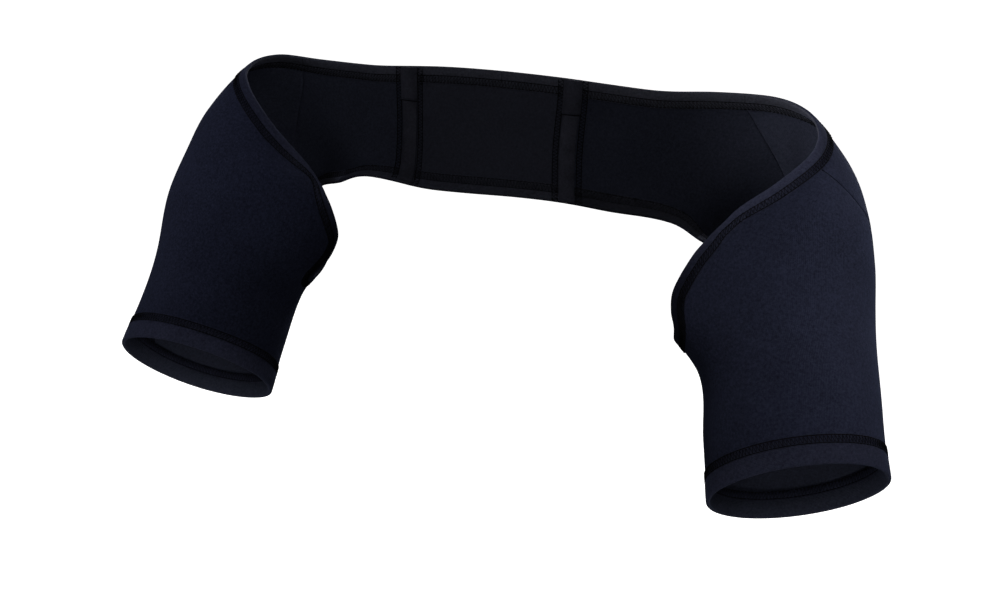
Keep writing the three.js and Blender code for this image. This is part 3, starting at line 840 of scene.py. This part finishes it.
class GarmentColours(bpy.types.PropertyGroup):
    """Colours of the garment and its stage."""
    sleeve: colour_property("Sleeve", "Outside of the sleeves, wings and panel", (0.0138, 0.016, 0.031))
    inside: colour_property("Sleeve inside", "Inside of the sleeves and wings", (0.0188, 0.021, 0.0335))
    band: colour_property("Panel inside", "Inside of the back panel", (0.0172, 0.0184, 0.0272))
    hem: colour_property("Hem", "Outside of the folded hems", (0.015, 0.0165, 0.03))
    # Painted light: the inside of the opening's hem and its sewn strip are painted about twice as light as
    # the inside knit, for light falling on the top hem.
    fold: colour_property("Hem inside", "Inside of the opening's hem", (0.037, 0.0385, 0.051))
    sewn: colour_property("Sewn cloth", "Cloth between the rows of stitches", (0.0125, 0.0138, 0.0245))
    sewn_fold: colour_property("Sewn cloth inside", "The same on the inside", (0.0235, 0.0247, 0.033))
    # Painted light: painted lighter than the sleeves' inside, for light reaching into the cuffs.
    cuff: colour_property("Cuff hem inside", "Inside of the cuff hems", (0.026, 0.0292, 0.0455))
    # Painted shade: the hem's inside along the band's foot is painted darker, and darker still under the left
    # wing, for the shade there.
    foot: colour_property("Foot hem inside", "Inside of the hem at the band's foot", (0.017, 0.018, 0.0245))
    wing_foot: colour_property("Wing foot", "The same under the left wing", (0.0085, 0.009, 0.0125))
    sewn_foot: colour_property("Sewn foot", "Cloth between its rows of stitches", (0.0135, 0.0143, 0.0195))
    # Painted shade: dark strip along each seam, for the shadow in its groove.
    seam: colour_property("Seam", "Groove where two pieces of cloth meet", (0.0055, 0.0062, 0.0105))
    casing: colour_property("Casing", "Tapes over the panel seams", (0.022, 0.0227, 0.032))
    thread: colour_property("Thread", "Sewing thread", (0.002, 0.0021, 0.0032))
    floor: colour_property("Floor", "Floor and backdrop", (0.9, 0.9, 0.9))


def sizes():
    return bpy.context.scene.garment_sizes


# Pieces

def hem_outline(s, width, soft):
    """The outline of a folded hem: outside from the fold inwards, then back along the inside.

    Its rows of stitches lie at first and second, and it swells by soft between the fold and the first.
    """
    half, flat = mm(s.hem_thick) / 2, mm(s.cloth) / 2
    first, second = width - mm(s.stitch_band) - ROW_INSET, width - ROW_INSET
    middle = (first + second) / 2
    outside, sewn, inside, behind = range(4)
    return (
        (0, 0, outside), (0.12, 0.5 * half, outside), (0.5, 0.86 * half, outside), (1.1, half, outside),
        (first * 0.5, half + soft, outside), (first - 1.0, half, outside), (first - 0.4, half - 0.22, sewn),
        (first, half - 0.5, sewn), (first + 0.45, half - 0.25, sewn), (middle, half - 0.12, sewn),
        (second - 0.45, half - 0.34, sewn), (second, flat + 0.02, sewn), (second + 0.5, flat + 0.12, outside),
        (width + 0.35, flat - 0.05, outside), (width + 0.4, 0, inside), (width + 0.25, -flat - 0.1, inside),
        (width, -half + 0.18, inside), (width - 0.2, -half, behind), (second, -half + 0.3, behind),
        (second - 0.5, -half - 0.04, behind), (middle, -half - 0.1, behind),
        (first + 0.5, -half - 0.04, behind), (first, -half + 0.3, behind), (first - 0.6, -half, inside),
        (first * 0.5, -half - soft, inside), (1.1, -half, inside), (0.5, -0.86 * half, inside),
        (0.12, -0.5 * half, inside),
    )


def closed_track(places, height):
    return Track(*lifted(places, np.full(len(places), height)), True)


def loop_track(distance, height):
    """A track round the opening's hem at a distance from its edge."""
    along = np.linspace(0, LOOP.length, int(LOOP.length / 1.5), endpoint=False)
    return closed_track(LOOP.inset(along, distance), height)


def cuff_track(side, distance, height):
    """A track round a cuff's hem at a distance from its edge."""
    edge = cuff_edge(side, np.linspace(0, 360, 240, endpoint=False))
    return closed_track(into(*edge, distance), height)


class GARMENT_OT_back_panel(bpy.types.Operator):
    """Makes the panel in the middle of the back band"""
    bl_idname = "garment.back_panel"
    bl_label = "Back Panel"

    def execute(self, context):
        inset = mm(sizes().hem_width) - TUCK
        left, right = MARKS["left"], MARKS["right"]
        top = LOOP.border(right["casing_top"], left["casing_top"], inset)
        foot = LOOP.border(right["casing_foot"], left["casing_foot"], inset) - FULL_TURN
        ends = [casing_seam(side, foot[k], top[k]) for side, k in (("right", 0), ("left", -1))]
        piece = cloth_piece("panel_cloth", (foot, top, *ends), "band", "inner", ["back_panel"])
        return {"FINISHED"}


class GARMENT_OT_wings(bpy.types.Operator):
    """Makes the wings between the panel and the sleeves"""
    bl_idname = "garment.wings"
    bl_label = "Wings"

    def execute(self, context):
        inset = mm(sizes().hem_width) - TUCK
        for side, flat, area in (("left", (0.19, 0.085), 0.0118), ("right", (0.13, 0.085), 0.0076)):
            marks = MARKS[side]
            top = LOOP.border(marks["casing_top"], marks["raglan_top"], inset)
            foot = LOOP.border(marks["casing_foot"], marks["raglan_foot"], inset) - FULL_TURN
            borders = (foot, top, casing_seam(side, foot[0], top[0]), raglan_line(side, inset, 80))
            piece = cloth_piece(f"{side}_wing", borders, "inside", "cloth", [f"back_wing_{side}"])
        return {"FINISHED"}


class GARMENT_OT_sleeves(bpy.types.Operator):
    """Makes the front and the back of each sleeve"""
    bl_idname = "garment.sleeves"
    bl_label = "Sleeves"

    def execute(self, context):
        inset, low = (mm(width) - TUCK for width in (sizes().hem_width, sizes().cuff_width))
        for side in SIDES:
            under, over = SLEEVE_SEAMS[side]
            ends = {}
            for name, column in (("under", under), ("over", over)):
                at = np.array([column])
                ends[name] = cuff_at(side, at, low)[0], rim_at(side, at, inset)[0]
            cuff_end, rim_end = ends["over"]
            over_seam = evenly(spline([cuff_end, *OVERARMS[side]["points"], rim_end], False), 90)
            under_seam = np.linspace(*ends["under"], 91)
            front = np.linspace(over, under, 160)
            armpit = np.linspace(under, LAST_COLUMN, 60)[:-1]
            behind = np.concatenate([armpit, np.linspace(0, RAGLAN_COLUMNS, 80)[:-1],
                                     np.linspace(RAGLAN_COLUMNS, over, 60)])
            turned = -FULL_TURN * (np.arange(len(behind)) < len(armpit))[:, None]
            parts = {
                "front": (cuff_at(side, front, low), rim_at(side, front, inset), over_seam, under_seam),
                "back": (cuff_at(side, behind, low) + turned, rim_at(side, behind, inset) + turned,
                         under_seam - FULL_TURN, over_seam),
            }
            for part, borders in parts.items():
                piece = cloth_piece(f"{side}_sleeve_{part}", borders, "inside", "cloth",
                                    [f"sleeve_{part}_{side}"], True)
                flat, area = ((0.23, 0.18), 0.0265) if part == "front" else ((0.26, 0.24), 0.0258)
        return {"FINISHED"}


class GARMENT_OT_opening_hem(bpy.types.Operator):
    """Makes the folded hem round the opening"""
    bl_idname = "garment.opening_hem"
    bl_label = "Opening Hem"

    def execute(self, context):
        s = sizes()
        along = np.linspace(0, LOOP.length, int(LOOP.length / STEP), endpoint=False)
        place, heading = LOOP.at(along)
        outline = hem_outline(s, mm(s.hem_width), 0.12)
        cut = Cut()
        # The band's foot is the lower edge between the armpits. Its hem's inside takes painted shade there,
        # darker still under the left wing.
        foot = (place[:, 1] > 340) & (np.abs(place[:, 0]) < 3)
        under_wing = foot & (place[:, 0] > CASINGS["left"]["bottom"])
        folded(cut, place, heading, 1, outline, along, foot.astype(int) + under_wing)
        # Finishes by shade step: the lit copies first, then those with painted shade at the foot and under
        # the left wing.
        lighter_and_shaded = ("hem", "sewn", "fold", "sewn_fold", "foot", "sewn_foot", "wing_foot", "wing_foot")
        cut.piece("opening_hem", lighter_and_shaded, "hem", ["opening_hem_left", "opening_hem_right"])
        return {"FINISHED"}


class GARMENT_OT_cuff_hems(bpy.types.Operator):
    """Makes the folded hem of each cuff"""
    bl_idname = "garment.cuff_hems"
    bl_label = "Cuff Hems"

    def execute(self, context):
        s = sizes()
        outline = hem_outline(s, mm(s.cuff_width), 0.1)
        for side in SIDES:
            place, heading, sign = cuff_edge(side, np.linspace(0, 360, 160, endpoint=False))
            cut = Cut()
            folded(cut, place, heading, sign, outline, lengths(surface(place)))
            cut.piece(f"{side}_cuff_hem", ("hem", "sewn", "cuff", "sewn"), "hem", [f"cuff_hem_{side}"])
        return {"FINISHED"}


class Casing:
    """The line of a casing up the inside of the band."""

    def __init__(self, side, s):
        marks = MARKS[side]
        foot = LOOP.at(np.array([marks["casing_foot"]]))[0][0] - FULL_TURN
        top = LOOP.at(np.array([marks["casing_top"]]))[0][0]
        self.places = casing_seam(side, foot, top, 200)
        self.length = lengths(surface(self.places))[-1]
        self.hem, self.half, self.cloth = mm(s.hem_width), mm(s.hem_thick) / 2, mm(s.cloth) / 2

    def at(self, distance, sideways):
        """Places at distances up the casing, moved sideways along the band."""
        place = sample(self.places, np.linspace(0, self.length, len(self.places)), distance)
        pace = np.linalg.norm(slopes(place)[0], axis=-1)
        place[:, 0] += sideways / pace
        return place

    def clear(self, distance):
        """Height of the hem or cloth below the casing."""
        near = np.minimum(distance, self.length - distance)
        drop = np.clip((near - self.hem + 1) / CASING_SLOPE, 0, 1)
        return self.half + CASING_STAND - drop * (self.half - self.cloth)


class GARMENT_OT_casings(bpy.types.Operator):
    """Makes the tape over each panel seam and the flap over its upper end"""
    bl_idname = "garment.casings"
    bl_label = "Casings"

    def execute(self, context):
        s = sizes()
        for side in SIDES:
            casing = Casing(side, s)
            tape, flap = mm(s.casing_thick), mm(s.flap_thick)
            start = casing.length * (1 - s.flap_share)
            end = casing.length - CASING_END
            raised = tape + FLAP_STAND
            parts = (
                ("tape", CASING_END, end, mm(s.casing_width), 0.0, tape + CASING_PUFF),
                ("flap", start, end, mm(s.flap_width), raised, raised + flap),
            )
            for name, low, high, width, base, top in parts:
                along = np.linspace(low, high, int((high - low) / 1.6) + 2)
                grid = np.stack([casing.at(along, w * width / 2) for w in CASING_COLUMNS], 1)
                clear = casing.clear(along)[:, None]
                near = np.minimum(along - low, high - along)
                rounding = np.clip(near / END_ROUND, 0, 1)[:, None] ** 0.5
                puff = (1 - np.abs(CASING_COLUMNS) ** CROWN)[None, :]
                crown = (0.25 + 0.75 * puff) * (0.35 + 0.65 * rounding)
                cut = Cut()
                layer(cut, grid, -clear - base * puff - (top - base) * crown, -clear - base * puff, 0, 0)
                piece = cut.piece(f"{side}_casing_{name}", ("casing",), "casing", [f"casing_{name}_{side}"])
                round(high - low) / 1000
        return {"FINISHED"}


class GARMENT_OT_stitching(bpy.types.Operator):
    """Sews the hems and casings"""
    bl_idname = "garment.stitching"
    bl_label = "Stitching"

    def execute(self, context):
        s = sizes()
        for name, side in (("outside", 1), ("inside", -1)):
            cut = Cut()
            self.hem_band(cut, s, loop_track, mm(s.hem_width), side)
            self.hem_seams(cut, s, side)
            cut.piece(f"opening_stitching_{name}", ("thread",), "hem")
        for which in SIDES:
            cut = Cut()
            for side in (1, -1):
                self.hem_band(cut, s, functools.partial(cuff_track, which), mm(s.cuff_width), side)
            cut.piece(f"{which}_cuff_stitching", ("thread",), "hem")
            cut = Cut()
            self.casing_rows(cut, s, Casing(which, s))
            cut.piece(f"{which}_casing_stitching", ("thread",), "casing")
        return {"FINISHED"}

    def hem_band(self, cut, s, track, width, side):
        """The stitch band of a hem, on its outside or its inside."""
        half, band = mm(s.hem_thick) / 2, mm(s.stitch_band)
        rows, tops = ([track(width - band * k - ROW_INSET, side * (half - depth)) for k in (1, 0)]
                      for depth in (ROW_DEPTH, COVER_DEPTH))
        stitch_band(cut, s, rows, tops, side)

    def hem_seams(self, cut, s, side):
        """Short seams across the opening's hem, where it is joined and above each raglan seam."""
        across = np.linspace(0.6, mm(s.hem_width) - mm(s.stitch_band) - 0.8, 12)
        height = np.full(len(across), side * (mm(s.hem_thick) / 2 + 0.02))
        for join in (LOOP.find(HEM_JOIN, True), *(MARKS[which]["raglan_top"] for which in SIDES)):
            places = np.vstack([LOOP.inset(np.array([join]), distance) for distance in across])
            thread(cut, *lifted(places, height), mm(s.cover))

    def casing_rows(self, cut, s, casing):
        """Stitch bands on both sides of a casing, rows on the outside, and a dark thread below the flap as
        its painted shadow.
        """
        along = np.linspace(CASING_ROW_END, casing.length - CASING_ROW_END, 120)
        clear, half_width = casing.clear(along), mm(s.casing_width) / 2

        def row(beside, height):
            return Track(*lifted(casing.at(along, beside), height), False)

        for way in (-1, 1):
            rows = [row(way * (half_width + beside), CASING_STAND - clear - 0.05) for beside in CASING_ROWS]
            stitch_band(cut, s, rows, rows, -1)
        for beside in CASING_BACK_ROWS:
            needle_row(cut, row(beside, clear - 0.3), mm(s.stitch), mm(s.thread), 1)
        # Painted shade: a dark thread across the tape just below the flap stands in for the shadow of its
        # lower edge.
        below = np.full(14, casing.length * (1 - s.flap_share) - 0.3)
        beside = np.linspace(-0.46, 0.46, len(below)) * mm(s.flap_width)
        slope = np.clip(np.abs(beside) / half_width, 0, 1) ** CROWN
        rise = casing.clear(below) + (mm(s.casing_thick) + CASING_PUFF) * (1 - 0.75 * slope)
        thread(cut, *lifted(casing.at(below, beside), -rise), FLAP_SHADOW_LINE)


class GARMENT_OT_stage(bpy.types.Operator):
    """Sets up the floor, the backdrop, the lights and the camera"""
    bl_idname = "garment.stage"
    bl_label = "Stage"

    def execute(self, context):
        scene = context.scene
        white = Finish("Pale floor")
        colour = tuple(scene.garment_colours.floor)
        pale = white.mix(white.noise(3.0), rgba(colour, 0.99), rgba(colour))
        sockets = {"Base Color": pale, "Roughness": 0.9, "Emission Color": pale, "Emission Strength": 1.2}
        for name, value in sockets.items():
            white.put(white.shader.inputs[name], value)
        turn = np.radians(np.arange(0, 360, 5))
        # Radius and height, from the middle of the floor to the top of the backdrop.
        profile = ((0.5, -0.62), (2.0, -0.62), (6.0, -0.62), (6.8, -0.45), (7.2, 0.2), (7.3, 14.0))
        points = np.array([[(r * math.cos(a), r * math.sin(a), z) for a in turn] for r, z in profile])
        mesh = bpy.data.meshes.new("floor")
        faces = grid_faces(len(profile), len(turn), False, True).tolist()
        mesh.from_pydata(points.reshape(-1, 3).tolist(), [], [list(range(len(turn)))[::-1], *faces])
        mesh.polygons.foreach_set("use_smooth", np.ones(len(mesh.polygons), bool))
        mesh.materials.append(white.material)
        floor = bpy.data.objects.new("floor", mesh)
        floor.visible_diffuse = floor.visible_glossy = floor.visible_shadow = False
        scene.collection.objects.link(floor)
        self.lights(scene)
        self.camera(scene)
        return {"FINISHED"}

    def lights(self, scene):
        world = bpy.data.worlds.new("Studio")
        scene.world = world
        world.use_nodes = True
        backdrop = world.node_tree.nodes["Background"]
        backdrop.inputs["Color"].default_value = (1, 1, 1, 1)
        backdrop.inputs["Strength"].default_value = 0.04
        middle = (0.0, 0.0, -0.05)
        # Columns: place, size, power. All are aimed at the middle.
        boxes = {
            "Overhead": ((0.1, -1.3, 1.4), 1.2, 2.5),
            "Front": ((1.3, -1.7, 0.2), 0.9, 2),
            "Low front": ((0.2, -1.9, -0.5), 0.9, 2.2),
            "Left side": ((1.8, -0.4, 0.1), 0.9, 1),
            "Right side": ((-1.8, -0.4, 0.1), 0.9, 3),
            "Back": ((0.0, 1.2, 1.2), 1.0, 22),
        }
        for name, (place, size, power) in boxes.items():
            light = bpy.data.lights.new(name, "AREA")
            light.shape, light.size, light.energy = "DISK", size, power
            self.hang(scene, light, place, middle)
        hems = ("opening_hem", "opening_stitching_outside")
        sleeve = ("sleeve_front", "sleeve_back", "cuff_hem", "cuff_stitching")
        left, right = ((*(f"{side}_{part}" for part in sleeve), *hems) for side in SIDES)
        band = ["panel_cloth"] + [name for name in bpy.data.objects.keys() if "casing" in name]
        backs = [f"{side}_{part}" for side in SIDES for part in ("wing", "sleeve_back")]
        # Columns: place, aimed at, radius of the pool of light there, softness, power, lit pieces.
        spots = {
            "Band": ((-1.0, -1.7, -0.1), (0.02, 0.0, 0.0), 0.5, 0.3, 15, band),
            "Behind": ((0.2, 1.8, 0.15), middle, 0.5, 0.3, 50, ("panel_cloth", *backs)),
            "Left sleeve": ((0.7, -1.2, 1.1), (0.21, -0.05, -0.07), 0.2, 0.15, 66, left),
            "Right sleeve": ((-1.1, -1.0, 1.1), (-0.22, -0.05, -0.06), 0.2, 0.15, 44, right),
            "Left shoulder": ((1.6, 0.1, 0.45), (0.25, -0.02, -0.03), 0.2, 0.1, 36, left),
            "Inside left shoulder": ((-1.2, -1.5, 0.15), (0.212, 0.0, 0.02), 0.065, 0.04, 180,
                                     ("left_sleeve_back", "left_wing", "opening_hem")),
            "Inside right shoulder": ((1.0, -1.6, 0.1), (-0.2, 0.0, 0.0), 0.12, 0.04, 17,
                                      ("right_sleeve_back", "right_wing")),
            "Left cuff": ((0.35, -1.0, -1.2), (0.22, -0.05, -0.18), 0.12, 0.05, 30,
                          ("left_sleeve_back", "left_cuff_hem")),
            "Right cuff": ((-0.2, -1.1, -1.1), (-0.205, -0.04, -0.185), 0.12, 0.05, 30,
                           ("right_sleeve_back", "right_cuff_hem")),
        }
        for name, (place, target, radius, soft, power, pieces) in spots.items():
            light = bpy.data.lights.new(name, "SPOT")
            light.energy, light.spot_blend, light.shadow_soft_size = power, 0.9, soft
            light.spot_size = 2 * math.atan(radius / math.dist(place, target))
            lit = bpy.data.collections.new(name)
            for piece in pieces:
                lit.objects.link(bpy.data.objects[piece])
            self.hang(scene, light, place, target).light_linking.receiver_collection = lit
        # The right sleeve's light is a little cooler.
        bpy.data.lights["Right sleeve"].color = (0.97, 1.0, 1.16)

    def hang(self, scene, light, place, target):
        """Hangs a lamp at a place, turned to a target."""
        lamp = bpy.data.objects.new(light.name, light)
        back = unit(np.array(place) - np.array(target))
        right = unit(np.cross((0, 0, 1), back)) if abs(back[2]) < 0.99 else np.array((1.0, 0, 0))
        up = np.cross(back, right)
        lamp.matrix_world = Matrix([[right[k], up[k], back[k], place[k]] for k in range(3)] + [[0, 0, 0, 1]])
        scene.collection.objects.link(lamp)
        return lamp

    def camera(self, scene):
        """The photograph's camera: turned, tilted down and rolled a little.

        Its focal length and the picture's width are in pixels, the sensor's width in millimetres.
        """
        turn, tilt, roll = (math.radians(v) for v in (16.7, 12.33, 6.57))
        side = np.array((math.cos(turn), math.sin(turn), 0))
        ahead = np.array((-math.sin(turn), math.cos(turn), 0))
        up = np.array((0, 0, 1))
        view = ahead * math.cos(tilt) - up * math.sin(tilt)
        level = up * math.cos(tilt) + ahead * math.sin(tilt)
        across = side * math.cos(roll) + level * math.sin(roll)
        above = level * math.cos(roll) - side * math.sin(roll)
        focal, wide, sensor = 1232, 1002, 36
        data = bpy.data.cameras.new("Camera")
        data.sensor_width, data.lens = sensor, focal / wide * sensor
        data.clip_start, data.clip_end = 0.01, 100
        camera = bpy.data.objects.new("Camera", data)
        place = (0.2384, -0.8034, 0.0708)
        camera.matrix_world = Matrix(
            [[across[k], above[k], -view[k], place[k]] for k in range(3)] + [[0, 0, 0, 1]])
        scene.collection.objects.link(camera)
        scene.camera = camera
        scene.view_settings.view_transform = "Standard"


class GARMENT_PT_pieces(bpy.types.Panel):
    """Lists the pieces of the garment"""
    bl_idname = "GARMENT_PT_pieces"
    bl_label = "Posture Corrector"
    bl_space_type = "VIEW_3D"
    bl_region_type = "UI"
    bl_category = "Garment"

    def draw(self, context):
        for group in (context.scene.garment_sizes, context.scene.garment_colours):
            for name in group.__annotations__:
                self.layout.prop(group, name)
        for operator in OPERATORS:
            self.layout.operator(operator.bl_idname)


OPERATORS = (
    GARMENT_OT_back_panel, GARMENT_OT_wings, GARMENT_OT_sleeves, GARMENT_OT_opening_hem,
    GARMENT_OT_cuff_hems, GARMENT_OT_casings, GARMENT_OT_stitching, GARMENT_OT_stage,
)
CLASSES = (GarmentSizes, GarmentColours, *OPERATORS, GARMENT_PT_pieces)


def register():
    for cls in CLASSES:
        bpy.utils.register_class(cls)
    bpy.types.Scene.garment_sizes = bpy.props.PointerProperty(type=GarmentSizes)
    bpy.types.Scene.garment_colours = bpy.props.PointerProperty(type=GarmentColours)


def unregister():
    del bpy.types.Scene.garment_colours
    del bpy.types.Scene.garment_sizes
    for cls in reversed(CLASSES):
        bpy.utils.unregister_class(cls)


def main():
    register()
    bpy.ops.garment.back_panel()
    bpy.ops.garment.wings()
    bpy.ops.garment.sleeves()
    bpy.ops.garment.opening_hem()
    bpy.ops.garment.cuff_hems()
    bpy.ops.garment.casings()
    bpy.ops.garment.stitching()
    bpy.ops.garment.stage()


if __name__ == "__main__":
    main()
